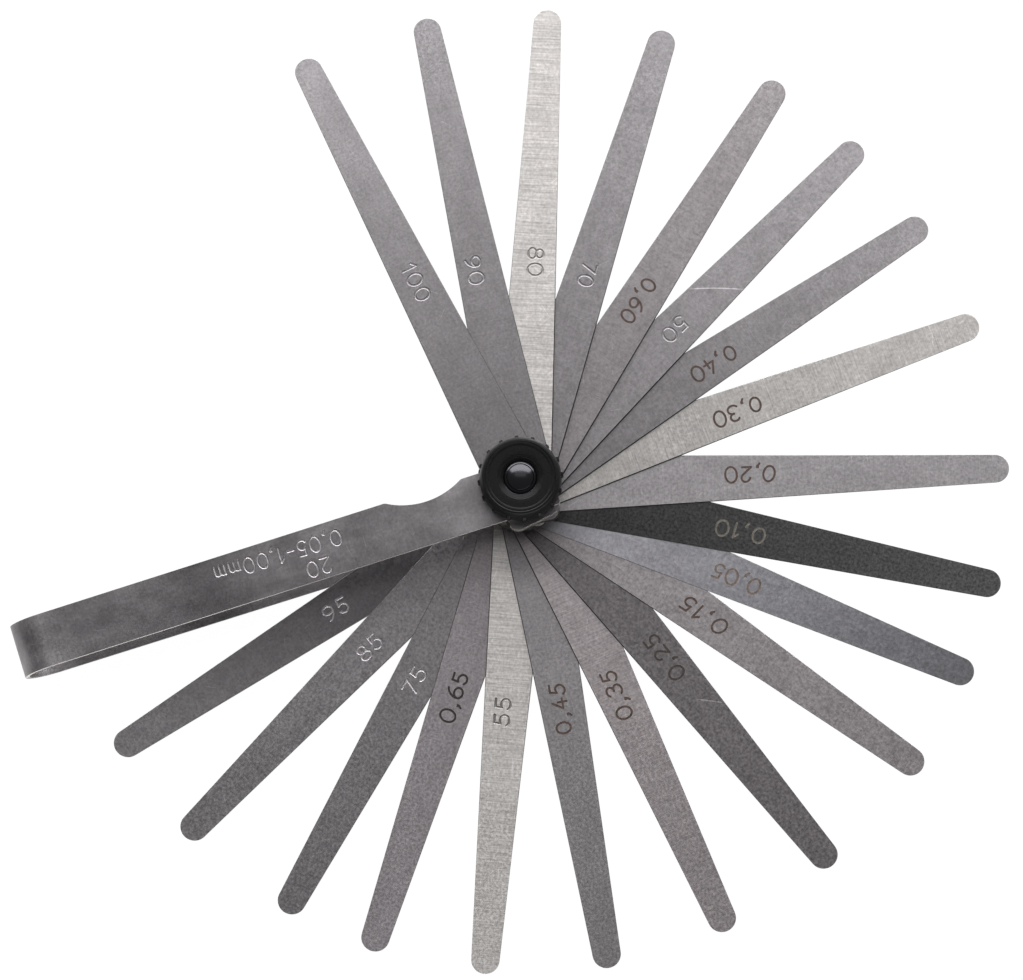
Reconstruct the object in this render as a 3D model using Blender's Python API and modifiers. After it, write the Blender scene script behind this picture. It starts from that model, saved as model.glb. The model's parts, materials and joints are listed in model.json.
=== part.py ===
"""Feeler gauge: twenty tapered steel blades on one pivot bolt, in a folded steel holder, clamped by a thumb nut.

Row frame, metres: the origin is on the bolt's axis at the underside of its head, +Z runs up the bolt to the
thumb nut, and the holder lies along -X with its thumb scallop on the +Y side.
"""

import math

import bmesh
import bpy

MM = 0.001

# The stack: blade thicknesses are exact, and the clearance keeps neighbours apart.
LAYER_GAP = 0.02 * MM
# Bottom to top, each blade's thickness in hundredths of a millimetre, the direction it is fanned to in degrees, and
# how far to its left it lies over in its loose fit on the bolt, in millimetres.
FAN = (
    (95, 195.15, -0.16),
    (85, 208.2, -0.02),
    (75, 223.3, -0.31),
    (65, 234.3, -0.2),
    (55, 247.55, 0.22),
    (45, 262.25, 0.02),
    (35, 276.7, 0.05),
    (25, 291.25, -0.19),
    (15, 306.7, -0.33),
    (5, 319.45, -0.76),
    (10, 330.2, -0.04),
    (20, 344.1, 0.2),
    (30, 362.05, -0.13),
    (40, 375.45, 0.12),
    (50, 387.55, 0.29),
    (60, 399.95, 0.08),
    (70, 414.7, 0.44),
    (80, 429.1, 0.25),
    (90, 444.4, -0.48),
    (100, 459.1, 0.73),
)

# Blade outline, in its own plane with the pivot at its origin and the tip along +X.
BLADE_REACH = 92.0 * MM
BLADE_TAIL = 8.0 * MM
BLADE_HALF_WIDTH = 5.5 * MM
BLADE_TAPER = 0.0321
BLADE_TAIL_HALF_WIDTH = 5.0 * MM
BLADE_TAIL_RADIUS = 1.8 * MM
BLADE_BORE_RADIUS = 3.4 * MM
# What the blades' loose fit on the bolt has in common: the holder and all of them lie over this way.
BLADE_SHIFT = (0.3 * MM, -0.25 * MM)

# Holder: one steel strip folded into a U that the blades close into.
PLATE = 0.8 * MM
HOLDER_END = -100.4 * MM
HOLDER_MOUTH = 5.8 * MM
HOLDER_LOW_Y = -6.35 * MM
HOLDER_HIGH_Y = 3.75 * MM
HOLDER_CORNER_RADIUS = 0.6 * MM
SCALLOP_X = -18.2 * MM
SCALLOP_CHORD = 15.0 * MM
SCALLOP_DEPTH = 2.05 * MM
SCALLOP_LIP_RADIUS = 1.2 * MM
BOLT_HOLE_RADIUS = 2.65 * MM
SQUARE_HOLE_SIDE = 5.1 * MM

# Pivot bolt: low round head, square neck that keys into the holder, smooth shank, rounded end.
HEAD_RADIUS = 4.8 * MM
HEAD_HEIGHT = 1.5 * MM
HEAD_EDGE = 0.4 * MM
NECK_SIDE = 5.0 * MM
NECK_HEIGHT = 0.7 * MM
SHANK_RADIUS = 2.5 * MM
BOLT_LENGTH = 19.8 * MM
BOLT_DOME = 1.1 * MM

# Washer, moulded thumb nut and the threaded insert in it.
WASHER_OUTER = 6.2 * MM
WASHER_INNER = 2.7 * MM
WASHER_THICKNESS = 0.5 * MM
NUT_HEIGHT = 5.3 * MM
NUT_BASE_RADIUS = 7.7 * MM
NUT_BASE_EDGE = 0.25 * MM
NUT_SHOULDER_HEIGHT = 2.2 * MM
NUT_RIM_RADIUS = 6.7 * MM
NUT_FACE_RADIUS = 5.7 * MM
NUT_DISH_RADIUS = 5.3 * MM
NUT_DISH_DEPTH = 0.4 * MM
NUT_EYE_RADIUS = 3.3 * MM
RIB_COUNT = 16
RIB_RADIUS = 0.5 * MM
RIB_CENTRE = 7.58 * MM
RIB_HEIGHT = 3.2 * MM
RIB_FIRST_ANGLE = -12.4
INSERT_OUTER = 3.6 * MM
INSERT_INNER = 2.56 * MM
INSERT_LOW = 0.3 * MM
INSERT_HIGH = 4.2 * MM
INSERT_SEAT_GAP = 0.05 * MM

ROUND_STEPS = 48
NUT_STEPS = 64
SHARP_ANGLE = 35

# Levels that follow from the sizes above.
LOW_PLATE_Z = HEAD_HEIGHT + LAYER_GAP
STACK_Z = LOW_PLATE_Z + PLATE + LAYER_GAP
STACK_HEIGHT = sum(step * 0.01 * MM + LAYER_GAP for step, _, _ in FAN)
HIGH_PLATE_Z = STACK_Z + STACK_HEIGHT
WASHER_Z = HIGH_PLATE_Z + PLATE + LAYER_GAP
NUT_Z = WASHER_Z + WASHER_THICKNESS + LAYER_GAP


def material(name, colour, roughness, metallic):
    """A Principled material of one colour."""
    made = bpy.data.materials.new(name)
    made.use_nodes = True
    shader = made.node_tree.nodes["Principled BSDF"]
    shader.inputs["Base Color"].default_value = (*colour, 1.0)
    shader.inputs["Roughness"].default_value = roughness
    shader.inputs["Metallic"].default_value = metallic
    made.diffuse_color = (*colour, 1.0)
    return made


def collection(name):
    """A new collection in the scene."""
    made = bpy.data.collections.new(name)
    bpy.context.scene.collection.children.link(made)
    return made


def arc(centre, radius, start, end, steps):
    """Points along an arc, both ends included; angles in degrees."""
    angles = [math.radians(start + (end - start) * i / steps) for i in range(steps + 1)]
    return [(centre[0] + radius * math.cos(a), centre[1] + radius * math.sin(a)) for a in angles]


def circle(radius, steps, centre=(0.0, 0.0)):
    """Points round a full circle, counter-clockwise."""
    return arc(centre, radius, 0, 360, steps)[:-1]


def square(side):
    """The corners of a square about the origin, counter-clockwise."""
    half = side / 2
    return [(-half, -half), (half, -half), (half, half), (-half, half)]


def flat_outline(name, loops, thickness, home, skin):
    """A flat plate: a filled 2D curve, with its lower face on its object's XY plane."""
    curve = bpy.data.curves.new(name, "CURVE")
    curve.dimensions = "2D"
    curve.fill_mode = "BOTH"
    curve.extrude = thickness / 2
    for points in loops:
        spline = curve.splines.new("POLY")
        spline.points.add(len(points) - 1)
        for point, (x, y) in zip(spline.points, points):
            point.co = (x, y, 0, 1)
        spline.use_cyclic_u = True
    curve.materials.append(skin)
    made = bpy.data.objects.new(name, curve)
    home.objects.link(made)
    return made


def as_mesh(curve_object, home):
    """Turns a curve object into a closed mesh object of the same name and place."""
    bpy.context.view_layer.update()
    depsgraph = bpy.context.evaluated_depsgraph_get()
    mesh = bpy.data.meshes.new_from_object(curve_object.evaluated_get(depsgraph))
    work = bmesh.new()
    work.from_mesh(mesh)
    bmesh.ops.remove_doubles(work, verts=work.verts, dist=0.001 * MM)
    bmesh.ops.recalc_face_normals(work, faces=work.faces)
    work.to_mesh(mesh)
    work.free()
    name = curve_object.name
    place = curve_object.matrix_world.copy()
    curve = curve_object.data
    bpy.data.objects.remove(curve_object)
    bpy.data.curves.remove(curve)
    made = bpy.data.objects.new(name, mesh)
    made.matrix_world = place
    home.objects.link(made)
    return made


def turned(name, profile, home, skin, steps=ROUND_STEPS, solid=False):
    """A solid of revolution about Z, from (radius, height) points that run down its outer side.

    The points make a closed loop, or for a solid without a hole a line with both its ends on the axis.
    """
    mesh = bpy.data.meshes.new(name)
    count = len(profile)
    edges = [(i, (i + 1) % count) for i in range(count - 1 if solid else count)]
    mesh.from_pydata([(r, 0, z) for r, z in profile], edges, [])
    made = bpy.data.objects.new(name, mesh)
    home.objects.link(made)
    screw = made.modifiers.new("turn", "SCREW")
    screw.axis = "Z"
    screw.angle = math.tau
    screw.steps = steps
    screw.render_steps = steps
    screw.use_merge_vertices = True
    screw.merge_threshold = 0.0001 * MM
    screw.use_smooth_shade = True
    mesh.materials.append(skin)
    return made


def bars(name, points, radius, height, home, sides=12):
    """One object of upright round bars, standing on its XY plane at the given points."""
    work = bmesh.new()
    for x, y in points:
        cone = bmesh.ops.create_cone(
            work, cap_ends=True, segments=sides, radius1=radius, radius2=radius, depth=height
        )
        bmesh.ops.translate(work, verts=cone["verts"], vec=(x, y, height / 2))
    mesh = bpy.data.meshes.new(name)
    work.to_mesh(mesh)
    work.free()
    made = bpy.data.objects.new(name, mesh)
    home.objects.link(made)
    return made


def as_cutter(tool):
    """Hides a tool object, which only shapes other objects."""
    tool.hide_render = True
    tool.display_type = "WIRE"
    return tool


def combine(target, tool, operation):
    """A Boolean of the target with the tool."""
    step = target.modifiers.new(tool.name, "BOOLEAN")
    step.operation = operation
    step.solver = "EXACT"
    step.object = as_cutter(tool)


def rounded_corners(corners, radii, steps=6):
    """A closed polygon's points, counter-clockwise, with each convex corner rounded to its own radius."""
    points = []
    count = len(corners)
    for i, ((x, y), radius) in enumerate(zip(corners, radii)):
        if radius == 0:
            points.append((x, y))
            continue
        px, py = corners[i - 1]
        nx, ny = corners[(i + 1) % count]
        incoming = math.atan2(y - py, x - px)
        turn = (math.atan2(ny - y, nx - x) - incoming + math.pi) % math.tau - math.pi
        back = radius * math.tan(turn / 2)
        tangent = (x - back * math.cos(incoming), y - back * math.sin(incoming))
        centre = (tangent[0] - radius * math.sin(incoming), tangent[1] + radius * math.cos(incoming))
        start = math.degrees(incoming) - 90
        points += arc(centre, radius, start, start + math.degrees(turn), steps)
    return points


def blade_outline():
    """The blade's edge, counter-clockwise: a square-cut tail, straight tapered sides and a full round tip."""
    slope = math.atan(BLADE_TAPER)
    width_at_reach = BLADE_HALF_WIDTH - BLADE_TAPER * BLADE_REACH
    tip_radius = width_at_reach * math.cos(slope) / (1 - math.sin(slope))
    tip_centre = (BLADE_REACH - tip_radius, 0)
    open_angle = 90 - math.degrees(slope)
    tip = arc(tip_centre, tip_radius, -open_angle, open_angle, 18)
    corners = [
        (0, BLADE_HALF_WIDTH),
        (-BLADE_TAIL, BLADE_TAIL_HALF_WIDTH),
        (-BLADE_TAIL, -BLADE_TAIL_HALF_WIDTH),
        (0, -BLADE_HALF_WIDTH),
    ]
    tail = rounded_corners(corners, [0, BLADE_TAIL_RADIUS, BLADE_TAIL_RADIUS, 0])
    return tip + tail


def make_blades(home, skins):
    """The twenty blades, stacked and fanned out, each with its origin at the centre of its own bore."""
    outline = blade_outline()
    bore = circle(BLADE_BORE_RADIUS, 32)
    level = STACK_Z
    for hundredths, direction, side in FAN:
        thickness = hundredths * 0.01 * MM
        turn = math.radians(direction)
        name = f"blade_{hundredths:03d}"
        blade = flat_outline(name, [outline, bore], thickness, home, skins[hundredths])
        x = BLADE_SHIFT[0] - side * MM * math.sin(turn)
        y = BLADE_SHIFT[1] + side * MM * math.cos(turn)
        blade.location = (x, y, level + thickness / 2)
        blade.rotation_euler = (0, 0, turn)
        level += thickness + LAYER_GAP


def holder_profile():
    """The folded strip seen from its side, as (along X, height) points, counter-clockwise."""
    outer_radius = (HIGH_PLATE_Z + PLATE - LOW_PLATE_Z) / 2
    inner_radius = outer_radius - PLATE
    centre = (HOLDER_END + outer_radius, LOW_PLATE_Z + outer_radius)
    inside = arc(centre, inner_radius, 270, 90, 20)
    outside = arc(centre, outer_radius, 90, 270, 20)
    return [
        (HOLDER_MOUTH, LOW_PLATE_Z),
        (HOLDER_MOUTH, LOW_PLATE_Z + PLATE),
        *inside,
        (HOLDER_MOUTH, HIGH_PLATE_Z),
        (HOLDER_MOUTH, HIGH_PLATE_Z + PLATE),
        *outside,
    ]


def scallop_outline():
    """The thumb cut in the holder's +Y edge: a shallow circle whose two lips are rounded over."""
    half = SCALLOP_CHORD / 2
    radius = (half**2 + SCALLOP_DEPTH**2) / (2 * SCALLOP_DEPTH)
    centre_y = HOLDER_HIGH_Y - SCALLOP_DEPTH + radius
    lip_y = HOLDER_HIGH_Y - SCALLOP_LIP_RADIUS
    lip_x = math.sqrt((radius + SCALLOP_LIP_RADIUS) ** 2 - (centre_y - lip_y) ** 2)
    lip_angle = math.degrees(math.atan2(centre_y - lip_y, lip_x))
    clear_y = HOLDER_HIGH_Y + SCALLOP_DEPTH
    left_lip = arc((SCALLOP_X - lip_x, lip_y), SCALLOP_LIP_RADIUS, 90, lip_angle, 5)
    bowl = arc((SCALLOP_X, centre_y), radius, 180 + lip_angle, 360 - lip_angle, 24)
    right_lip = arc((SCALLOP_X + lip_x, lip_y), SCALLOP_LIP_RADIUS, 180 - lip_angle, 90, 5)
    closing = [(SCALLOP_X + lip_x, clear_y), (SCALLOP_X - lip_x, clear_y)]
    return left_lip + bowl[1:-1] + right_lip + closing


def corner_outline(sign_y):
    """What comes off one corner at the holder's mouth to round it."""
    edge_y = HOLDER_HIGH_Y if sign_y > 0 else HOLDER_LOW_Y
    inner = (HOLDER_MOUTH - HOLDER_CORNER_RADIUS, edge_y - sign_y * HOLDER_CORNER_RADIUS)
    spare = 2 * HOLDER_CORNER_RADIUS
    rounded = arc(inner, HOLDER_CORNER_RADIUS, 0, sign_y * 90, 6)
    beyond = [
        (inner[0], edge_y + sign_y * spare),
        (HOLDER_MOUTH + spare, edge_y + sign_y * spare),
        (HOLDER_MOUTH + spare, inner[1]),
    ]
    return rounded + beyond


def make_holder(home, tools, skin):
    """The folded strip, cut for the thumb, the bolt's shank and the bolt's square neck."""
    width = HOLDER_HIGH_Y - HOLDER_LOW_Y
    strip = flat_outline("holder", [holder_profile()], width, home, skin)
    strip.rotation_euler = (math.pi / 2, 0, 0)
    strip.location = (0, (HOLDER_HIGH_Y + HOLDER_LOW_Y) / 2, 0)
    holder = as_mesh(strip, home)
    holder.data.shade_smooth()
    holder.data.set_sharp_from_angle(angle=math.radians(SHARP_ANGLE))
    both_plates = HIGH_PLATE_Z + 4 * PLATE
    one_plate = 3 * PLATE
    middle = (LOW_PLATE_Z + HIGH_PLATE_Z + PLATE) / 2
    cuts = (
        ("scallop_cut", scallop_outline(), both_plates, middle),
        ("mouth_corner_low", corner_outline(-1), both_plates, middle),
        ("mouth_corner_high", corner_outline(1), both_plates, middle),
        ("bolt_hole", circle(BOLT_HOLE_RADIUS, 32), one_plate, HIGH_PLATE_Z + PLATE / 2),
        ("square_hole", square(SQUARE_HOLE_SIDE), one_plate, LOW_PLATE_Z + PLATE / 2),
    )
    for name, outline, depth, height in cuts:
        cutter = flat_outline(name, [outline], depth, tools, skin)
        cutter.location = (0, 0, height)
        combine(holder, as_mesh(cutter, tools), "DIFFERENCE")
    return holder


def make_bolt(home, tools, skin):
    """The pivot bolt, head down, with its origin at the centre of the head's flat underside."""
    dome_sphere = (SHANK_RADIUS**2 + BOLT_DOME**2) / (2 * BOLT_DOME)
    dome_angle = math.degrees(math.asin(SHANK_RADIUS / dome_sphere))
    dome = arc((0, BOLT_LENGTH - dome_sphere), dome_sphere, 90, 90 - dome_angle, 7)
    head_corner = (HEAD_RADIUS - HEAD_EDGE, HEAD_EDGE)
    profile = [
        (0, BOLT_LENGTH),
        *dome[1:],
        (SHANK_RADIUS, HEAD_HEIGHT),
        (HEAD_RADIUS, HEAD_HEIGHT),
        *arc(head_corner, HEAD_EDGE, 0, -90, 4),
        (0, 0),
    ]
    bolt = turned("pivot_bolt", profile, home, skin, solid=True)
    overlap = HEAD_HEIGHT / 2
    neck = flat_outline("square_neck", [square(NECK_SIDE)], NECK_HEIGHT + overlap, tools, skin)
    neck.location = (0, 0, HEAD_HEIGHT + (NECK_HEIGHT - overlap) / 2)
    combine(bolt, as_mesh(neck, tools), "UNION")
    return bolt


def make_washer(home, skin):
    """The flat washer between the holder and the nut."""
    profile = [
        (WASHER_INNER, WASHER_THICKNESS),
        (WASHER_OUTER, WASHER_THICKNESS),
        (WASHER_OUTER, 0),
        (WASHER_INNER, 0),
    ]
    washer = turned("washer", profile, home, skin)
    washer.location = (0, 0, WASHER_Z)
    return washer


def make_insert(home, skin):
    """The threaded insert moulded into the nut."""
    profile = [
        (INSERT_INNER, INSERT_HIGH),
        (INSERT_OUTER, INSERT_HIGH),
        (INSERT_OUTER, INSERT_LOW),
        (INSERT_INNER, INSERT_LOW),
    ]
    insert = turned("nut_insert", profile, home, skin)
    insert.location = (0, 0, NUT_Z)
    return insert


def nut_profile():
    """The moulded nut's section: dished face, smooth shoulder, upright skirt and the insert's seat."""
    seat_radius = INSERT_OUTER + INSERT_SEAT_GAP
    seat_top = INSERT_HIGH + INSERT_SEAT_GAP
    rise = NUT_HEIGHT - NUT_SHOULDER_HEIGHT
    lean = NUT_BASE_RADIUS - NUT_RIM_RADIUS
    turns = [math.radians(angle) for angle in range(0, 91, 15)]
    shoulder = [
        (NUT_RIM_RADIUS + lean * math.sin(turn), NUT_SHOULDER_HEIGHT + rise * math.cos(turn)) for turn in turns
    ]
    return [
        (NUT_EYE_RADIUS, NUT_HEIGHT - NUT_DISH_DEPTH),
        (NUT_DISH_RADIUS, NUT_HEIGHT - NUT_DISH_DEPTH),
        (NUT_FACE_RADIUS, NUT_HEIGHT),
        *shoulder,
        (NUT_BASE_RADIUS, NUT_BASE_EDGE),
        (NUT_BASE_RADIUS - NUT_BASE_EDGE, 0),
        (seat_radius, 0),
        (seat_radius, seat_top),
        (NUT_EYE_RADIUS, seat_top),
    ]


def make_nut(home, tools, skin):
    """The thumb nut with its ring of grip ribs."""
    nut = turned("thumb_nut", nut_profile(), home, skin, steps=NUT_STEPS)
    angles = [math.radians(RIB_FIRST_ANGLE + 360 * i / RIB_COUNT) for i in range(RIB_COUNT)]
    points = [(RIB_CENTRE * math.cos(a), RIB_CENTRE * math.sin(a)) for a in angles]
    ribs = bars("nut_ribs", points, RIB_RADIUS, RIB_HEIGHT, tools)
    nut.location = (0, 0, NUT_Z)
    ribs.location = (0, 0, NUT_Z + NUT_BASE_EDGE)
    combine(nut, ribs, "UNION")
    return nut


def main():
    for old in list(bpy.data.objects):
        bpy.data.objects.remove(old)
    gauge = collection("feeler_gauge")
    tools = collection("cutters")
    steel = material("blade_steel", (0.36, 0.355, 0.35), 0.38, 1.0)
    bright = material("bright_blade_steel", (0.62, 0.61, 0.59), 0.33, 1.0)
    dark = material("dark_blade_steel", (0.09, 0.09, 0.088), 0.42, 1.0)
    strip = material("holder_steel", (0.33, 0.325, 0.32), 0.42, 1.0)
    blackened = material("blackened_steel", (0.025, 0.025, 0.027), 0.3, 1.0)
    zinc = material("washer_steel", (0.5, 0.5, 0.49), 0.4, 1.0)
    plastic = material("black_plastic", (0.018, 0.018, 0.019), 0.45, 0.0)
    skins = {hundredths: steel for hundredths, _, _ in FAN}
    skins.update({10: dark, 20: bright, 30: bright, 55: bright, 80: bright})
    make_holder(gauge, tools, strip)
    make_blades(gauge, skins)
    make_bolt(gauge, tools, blackened)
    make_washer(gauge, zinc)
    make_insert(gauge, blackened)
    make_nut(gauge, tools, plastic)


main()
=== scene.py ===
"""Looks of the feeler gauge: steel blades with their numbers, folded holder, black thumb nut, studio light.

Every piece is built here in its own frame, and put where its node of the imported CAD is.
"""

import json
import math
import random

import bmesh
import bpy
from mathutils import Matrix, Vector


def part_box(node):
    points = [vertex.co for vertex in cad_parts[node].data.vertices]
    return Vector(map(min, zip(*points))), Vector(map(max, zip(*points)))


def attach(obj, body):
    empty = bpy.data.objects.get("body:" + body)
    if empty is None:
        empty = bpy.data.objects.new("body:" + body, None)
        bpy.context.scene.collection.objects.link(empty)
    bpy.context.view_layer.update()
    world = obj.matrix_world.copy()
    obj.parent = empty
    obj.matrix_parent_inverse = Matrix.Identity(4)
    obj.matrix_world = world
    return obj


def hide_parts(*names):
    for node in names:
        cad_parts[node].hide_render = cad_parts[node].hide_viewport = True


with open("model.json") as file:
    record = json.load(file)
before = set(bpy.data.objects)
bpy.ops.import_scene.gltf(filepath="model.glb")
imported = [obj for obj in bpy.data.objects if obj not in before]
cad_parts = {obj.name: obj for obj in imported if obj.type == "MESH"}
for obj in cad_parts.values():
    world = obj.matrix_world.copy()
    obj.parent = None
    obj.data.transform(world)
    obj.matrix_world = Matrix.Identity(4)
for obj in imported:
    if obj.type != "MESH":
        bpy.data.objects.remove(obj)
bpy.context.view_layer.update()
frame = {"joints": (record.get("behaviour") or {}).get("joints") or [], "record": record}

MM = 0.001
SCENE = bpy.context.scene
# Mesh points that are closer together than this are one point.
WELD = 0.002 * MM

# Blade outline, in its own frame: the pivot at the origin and the tip along +X.
BLADE_REACH = 92.0 * MM
BLADE_TAIL = 8.0 * MM
BLADE_HALF_WIDTH = 5.5 * MM
BLADE_TAPER = 0.0321
BLADE_TAIL_HALF_WIDTH = 5.0 * MM
BLADE_TAIL_RADIUS = 1.8 * MM
BLADE_BORE_RADIUS = 3.4 * MM
BLADE_EDGE = 0.05 * MM
# The shear-cut edges: a blade's lower edge stands out by the burr up to BURR_END from the pivot, and beyond
# it both edges stand out by the swell. The burr is partly real and partly painted shade: with the near-black
# edge material it widens the dark line where overlapping blades shade the gaps between them.
BLADE_BURR = 0.13 * MM
BLADE_SWELL = 0.045 * MM
BURR_END = 48 * MM
BURR_FADE = 4 * MM
# The half width at which a side moves by just that much, and where the tip, tail and bore begin for the burr.
BURR_HALF_WIDTH = 5 * MM
BURR_TIP = 2 * MM
BURR_TAIL = 6 * MM
BURR_BORE = 0.2 * MM

# Holder.
PLATE = 0.8 * MM
HOLDER_CORNER_RADIUS = 0.6 * MM
HOLDER_EDGE = 0.17 * MM
# How much the lower plate widens on its -Y side for each metre toward the mouth.
HOLDER_SKEW = 0.0055
SCALLOP_X = -18.2 * MM
SCALLOP_CHORD = 15.0 * MM
SCALLOP_DEPTH = 2.05 * MM
SCALLOP_LIP_RADIUS = 1.2 * MM
BOLT_HOLE_RADIUS = 2.65 * MM
SQUARE_HOLE_SIDE = 5.1 * MM

# Pivot bolt, washer, thumb nut and its insert.
HEAD_RADIUS = 4.8 * MM
HEAD_HEIGHT = 1.5 * MM
HEAD_EDGE = 0.4 * MM
NECK_SIDE = 5.0 * MM
NECK_CORNER_RADIUS = 0.15 * MM
NECK_HEIGHT = 0.7 * MM
SHANK_RADIUS = 2.5 * MM
BOLT_DOME = 0.79 * MM
THREAD_PITCH = 0.8 * MM
THREAD_DEPTH = 0.35 * MM
THREAD_STEP = THREAD_PITCH / 8
BOLT_THREAD_LOW = 14.2 * MM
WASHER_OUTER = 6.2 * MM
WASHER_INNER = 2.7 * MM
NUT_BASE_RADIUS = 7.7 * MM
NUT_SHOULDER_HEIGHT = 2.2 * MM
NUT_RIM_RADIUS = 6.85 * MM
NUT_EYE_RADIUS = 3.3 * MM
NUT_SEAT_RADIUS = 3.65 * MM
RIB_COUNT = 16
RIB_FIRST_ANGLE = -12.4
RIB_STAND = 0.35 * MM
RIB_HALF_ANGLE = 3.1
RIB_FLANK_ANGLE = 0.9
RIB_HEIGHT = 3.1 * MM
RIB_END_SLOPE = 1.9
INSERT_OUTER = 3.6 * MM
INSERT_INNER = 2.56 * MM
# The insert's rim and the groove round it, as radii and heights over the insert's top, in millimetres.
INSERT_LIP = (
    (2.58, 0.19),
    (2.7, 0.13),
    (2.8, 0.075),
    (2.9, 0.01),
    (3.0, -0.065),
    (3.06, -0.2),
    (3.2, -0.26),
    (3.34, -0.2),
)
# The nut's dished face, as radii and heights in millimetres; each radius has a fine turned ring.
NUT_DISH = ((3.7, 4.66), (4.0, 4.76), (4.3, 4.85), (4.7, 4.93), (5.2, 4.99), (5.8, 5.06))
NUT_RING_WIDTH = 0.06
NUT_RING_DEPTH = 0.008


# ---------------------------------------------------------------- outlines and meshes


def arc(centre, radius, start, end, steps):
    """Points along an arc, both ends included; angles in degrees, and radius one number or two."""
    rx, ry = radius if isinstance(radius, tuple) else (radius, radius)
    angles = [math.radians(start + (end - start) * i / steps) for i in range(steps + 1)]
    return [(centre[0] + rx * math.cos(a), centre[1] + ry * math.sin(a)) for a in angles]


def circle(radius, steps):
    """Points round a full circle about the origin, counter-clockwise."""
    return arc((0, 0), radius, 0, 360, steps)[:-1]


def rounded_corners(corners, radii, steps):
    """A closed polygon's points, counter-clockwise, with each convex corner rounded to its own radius."""
    points = []
    for i, ((x, y), radius) in enumerate(zip(corners, radii)):
        if radius == 0:
            points.append((x, y))
            continue
        px, py = corners[i - 1]
        nx, ny = corners[(i + 1) % len(corners)]
        incoming = math.atan2(y - py, x - px)
        turn = (math.atan2(ny - y, nx - x) - incoming + math.pi) % math.tau - math.pi
        back = radius * math.tan(turn / 2)
        tangent = (x - back * math.cos(incoming), y - back * math.sin(incoming))
        centre = (tangent[0] - radius * math.sin(incoming), tangent[1] + radius * math.cos(incoming))
        start = math.degrees(incoming) - 90
        points += arc(centre, radius, start, start + math.degrees(turn), steps)
    return points


def plate(name, loops, thickness):
    """A flat plate's closed mesh object: the first loop is its outline, and the others are holes in it."""
    curve = bpy.data.curves.new(name, "CURVE")
    curve.dimensions = "2D"
    curve.fill_mode = "BOTH"
    curve.extrude = thickness / 2
    for points in loops:
        spline = curve.splines.new("POLY")
        spline.points.add(len(points) - 1)
        for point, (x, y) in zip(spline.points, points):
            point.co = (x, y, 0, 1)
        spline.use_cyclic_u = True
    flat = bpy.data.objects.new(name, curve)
    SCENE.collection.objects.link(flat)
    bpy.context.view_layer.update()
    mesh = bpy.data.meshes.new_from_object(flat.evaluated_get(bpy.context.evaluated_depsgraph_get()))
    bpy.data.objects.remove(flat)
    bpy.data.curves.remove(curve)
    work = bmesh.new()
    work.from_mesh(mesh)
    bmesh.ops.remove_doubles(work, verts=work.verts, dist=WELD)
    bmesh.ops.recalc_face_normals(work, faces=work.faces)
    work.to_mesh(mesh)
    work.free()
    made = bpy.data.objects.new(name, mesh)
    SCENE.collection.objects.link(made)
    return made


def apply_modifiers(made):
    """Turns an object's modifiers into its mesh."""
    bpy.context.view_layer.update()
    mesh = bpy.data.meshes.new_from_object(made.evaluated_get(bpy.context.evaluated_depsgraph_get()))
    made.modifiers.clear()
    old = made.data
    made.data = mesh
    bpy.data.meshes.remove(old)
    return made


def bevel(made, width, segments=2, angle=40):
    """Rounds a mesh object's sharp edges."""
    step = made.modifiers.new("edges", "BEVEL")
    step.width = width
    step.segments = segments
    step.limit_method = "ANGLE"
    step.angle_limit = math.radians(angle)
    step.use_clamp_overlap = True
    return apply_modifiers(made)


def cut(made, tool, itself=False):
    """Cuts the tool out of a mesh object, and removes the tool."""
    step = made.modifiers.new("cut", "BOOLEAN")
    step.operation = "DIFFERENCE"
    step.solver = "EXACT"
    step.material_mode = "TRANSFER"
    step.use_self = itself
    step.object = tool
    apply_modifiers(made)
    bpy.data.objects.remove(tool)
    return made


def smooth(made, angle=32):
    """Shades a mesh object smooth between its sharp edges, with its large faces kept flat."""
    made.data.shade_smooth()
    made.data.set_sharp_from_angle(angle=math.radians(angle))
    step = made.modifiers.new("normals", "WEIGHTED_NORMAL")
    step.mode = "FACE_AREA"
    step.weight = 100
    step.keep_sharp = True
    return apply_modifiers(made)


def revolved(name, profile, steps, shape=None):
    """A solid of revolution about Z from a closed loop of (radius, height) points.

    A point on the axis makes one vertex. shape gives a new radius from radius, height and angle in degrees.
    """
    work = bmesh.new()
    rings = []
    for radius, height in profile:
        if radius == 0:
            rings.append([work.verts.new((0, 0, height))] * steps)
            continue
        ring = []
        for i in range(steps):
            angle = 360 * i / steps
            r = shape(radius, height, angle) if shape else radius
            turned = math.radians(angle)
            ring.append(work.verts.new((r * math.cos(turned), r * math.sin(turned), height)))
        rings.append(ring)
    for one, other in zip(rings, rings[1:] + rings[:1]):
        if one[0] is one[1] and other[0] is other[1]:
            continue
        for i in range(steps):
            corners = [one[i], one[(i + 1) % steps], other[(i + 1) % steps], other[i]]
            work.faces.new(list(dict.fromkeys(corners)))
    bmesh.ops.recalc_face_normals(work, faces=work.faces)
    mesh = bpy.data.meshes.new(name)
    work.to_mesh(mesh)
    work.free()
    made = bpy.data.objects.new(name, mesh)
    SCENE.collection.objects.link(made)
    return made


def finish(made, node, skin):
    """Gives a piece its material, and ties it to the CAD node that it replaces and to that node's body."""
    if not made.data.materials:
        made.data.materials.append(skin)
    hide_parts(node)
    bodies = frame["record"]["behaviour"]["bodies"]
    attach(made, next(body for body, nodes in bodies.items() if node in nodes))
    return made


# ---------------------------------------------------------------- numbers

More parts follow.
